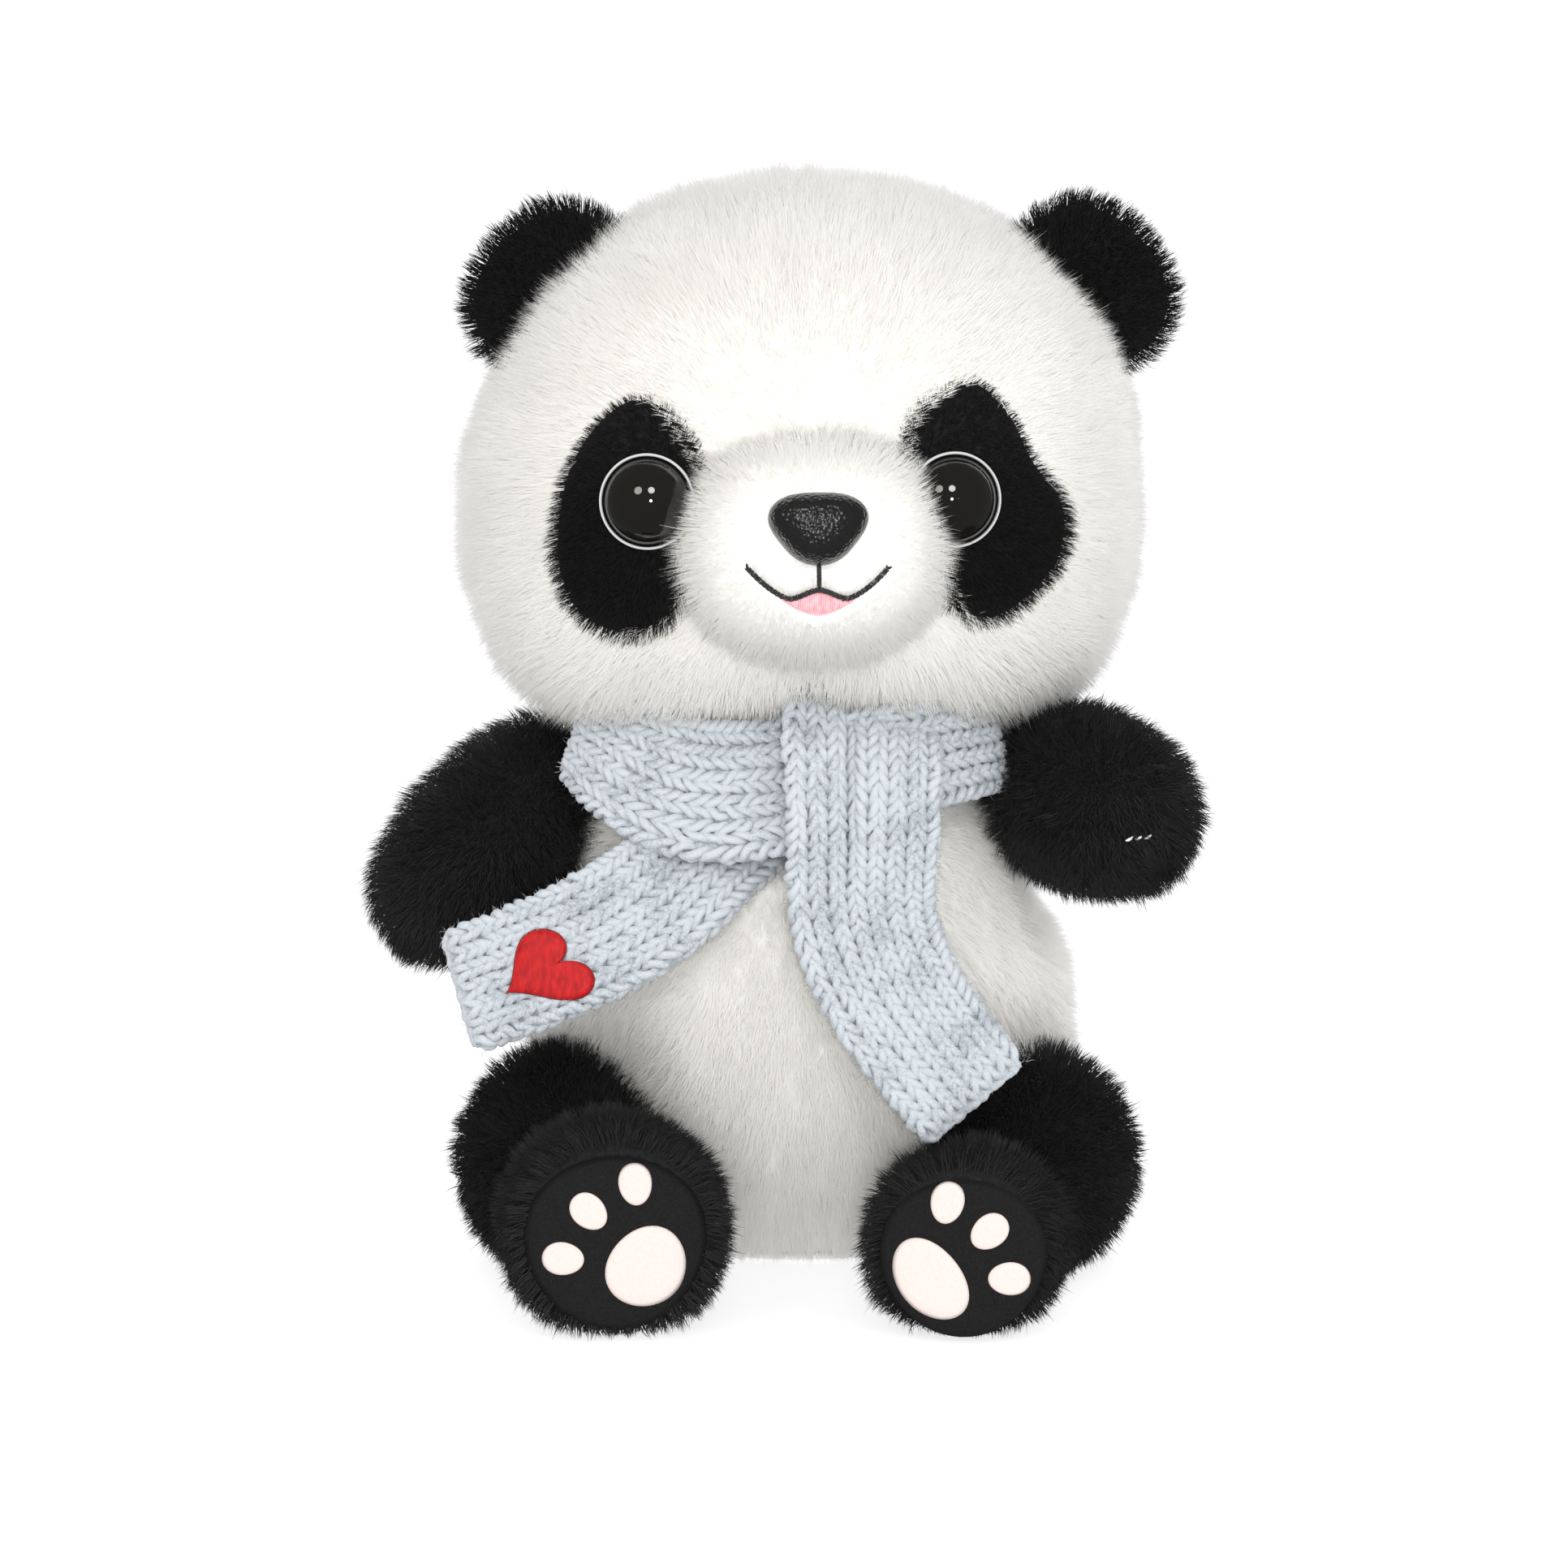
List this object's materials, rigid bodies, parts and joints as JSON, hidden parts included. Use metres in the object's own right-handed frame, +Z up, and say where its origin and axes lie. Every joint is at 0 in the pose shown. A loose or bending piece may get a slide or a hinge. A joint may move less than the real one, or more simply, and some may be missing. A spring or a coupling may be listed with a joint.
{
  "type": "plush panda",
  "caption": "Sitting plush panda with a large round head, safety eyes and nose, stubby sewn limbs with paw-print soles, and a knitted scarf tied in a half knot",
  "frame": {"origin": "Middle of the flat seat face under the torso, on the surface the panda sits on.", "axes": "+Z up, the panda faces -Y, its own left side is +X."},
  "size_m": [0.1972, 0.1691, 0.267],
  "materials": {
    "white_fur": "long-pile white plush fur",
    "black_fur": "long-pile black plush fur",
    "stuffing": "loose polyester fibre filling",
    "bean_bag": "woven pouch of plastic beans",
    "knit": "chunky stocking-stitch knit, pale blue-grey",
    "heart": "satin-stitch embroidery, red",
    "sole": "short-nap black velour",
    "paw_pad": "short-nap pale pink velour",
    "thread": "black embroidery thread",
    "white_thread": "white sewing thread",
    "tongue": "satin-stitch embroidery, pink",
    "eye_gloss": "polished black safety eye",
    "eye_rim": "white rim of the safety eye",
    "nose": "leather-grained black safety nose",
    "washer": "moulded locking washer"
  },
  "bodies": {
    "torso": {"torso_front_skin": "white_fur", "torso_back_skin": "white_fur", "torso_stuffing": "stuffing", "bean_bag": "bean_bag", "seat_panel": "white_fur", "scarf_loop": "knit", "scarf_knot": "knit"},
    "long_end": {"scarf_long_end": "knit"},
    "heart_end": {"scarf_heart_end": "knit", "heart_patch": "heart"},
    "neck": {"neck_wad": "stuffing"},
    "head": {"head_front_skin": "white_fur", "head_back_skin": "white_fur", "head_stuffing": "stuffing", "muzzle_skin": "white_fur", "muzzle_stuffing": "stuffing", "eye_patch_left": "black_fur", "eye_patch_right": "black_fur", "eye_dome_left": "eye_gloss", "eye_dome_right": "eye_gloss", "eye_ring_left": "eye_rim", "eye_ring_right": "eye_rim", "eye_washer_left": "washer", "eye_washer_right": "washer", "nose": "nose", "nose_washer": "washer", "mouth_stitching": "thread", "tongue_patch": "tongue"},
    "ear_left": {"ear_front_skin_left": "black_fur", "ear_back_skin_left": "black_fur", "ear_batting_left": "stuffing"},
    "ear_right": {"ear_front_skin_right": "black_fur", "ear_back_skin_right": "black_fur", "ear_batting_right": "stuffing"},
    "arm_left": {"arm_inner_skin_left": "black_fur", "arm_outer_skin_left": "black_fur", "arm_stuffing_left": "stuffing", "paw_stitches": "white_thread"},
    "arm_right": {"arm_inner_skin_right": "black_fur", "arm_outer_skin_right": "black_fur", "arm_stuffing_right": "stuffing"},
    "leg_left": {"leg_skin_left": "black_fur", "leg_stuffing_left": "stuffing", "sole_disc_left": "sole", "heel_pad_left": "paw_pad", "toe_pads_left": "paw_pad"},
    "leg_right": {"leg_skin_right": "black_fur", "leg_stuffing_right": "stuffing", "sole_disc_right": "sole", "heel_pad_right": "paw_pad", "toe_pads_right": "paw_pad"},
    "tail": {"tail_skin": "white_fur", "tail_stuffing": "stuffing"}
  },
  "joints": [
    {"name": "head_turn", "type": "hinge", "parent": "torso", "child": "neck", "pos_m": [0, 0, 0.1395], "axis": [0, 0, 1], "range_deg": [-30, 30], "stiffness_Nm_per_rad": 0.3},
    {"name": "head_nod", "type": "hinge", "parent": "neck", "child": "head", "pos_m": [0, 0, 0.1395], "axis": [1, 0, 0], "range_deg": [-8, 8], "stiffness_Nm_per_rad": 2},
    {"name": "ear_fold_left", "type": "hinge", "parent": "head", "child": "ear_left", "pos_m": [0.06992, 0.00366, 0.24017], "axis": [0.6552, 0.0343, -0.7547], "range_deg": [-25, 25], "stiffness_Nm_per_rad": 0.05},
    {"name": "ear_fold_right", "type": "hinge", "parent": "head", "child": "ear_right", "pos_m": [-0.06665, -0.00349, 0.24434], "axis": [0.6552, 0.0343, 0.7547], "range_deg": [-25, 25], "stiffness_Nm_per_rad": 0.05},
    {"name": "arm_swing_left", "type": "hinge", "parent": "torso", "child": "arm_left", "pos_m": [0.051, 0, 0.104], "axis": [0.9752, 0, 0.2212], "range_deg": [-10, 45], "stiffness_Nm_per_rad": 0.12},
    {"name": "arm_swing_right", "type": "hinge", "parent": "torso", "child": "arm_right", "pos_m": [-0.051, 0, 0.104], "axis": [0.9752, 0, -0.2212], "range_deg": [-30, 10], "stiffness_Nm_per_rad": 0.12},
    {"name": "leg_swing_left", "type": "hinge", "parent": "torso", "child": "leg_left", "pos_m": [0.049, -0.032, 0.029], "axis": [0.736, -0.677, 0], "range_deg": [-6, 30], "stiffness_Nm_per_rad": 0.15},
    {"name": "leg_swing_right", "type": "hinge", "parent": "torso", "child": "leg_right", "pos_m": [-0.049, -0.032, 0.029], "axis": [0.736, 0.677, 0], "range_deg": [-15, 30], "stiffness_Nm_per_rad": 0.15},
    {"name": "tail_flex", "type": "hinge", "parent": "torso", "child": "tail", "pos_m": [0, 0.053, 0.024], "axis": [1, 0, 0], "range_deg": [-20, 20], "stiffness_Nm_per_rad": 0.02},
    {"name": "long_end_lift", "type": "hinge", "parent": "torso", "child": "long_end", "pos_m": [0.01536, -0.06525, 0.111], "axis": [-0.9867, -0.161, 0.0226], "range_deg": [0, 60]},
    {"name": "heart_end_lift", "type": "hinge", "parent": "torso", "child": "heart_end", "pos_m": [-0.025, -0.0626, 0.111], "axis": [-0.829, 0, 0.5593], "range_deg": [0, 50]}
  ]
}
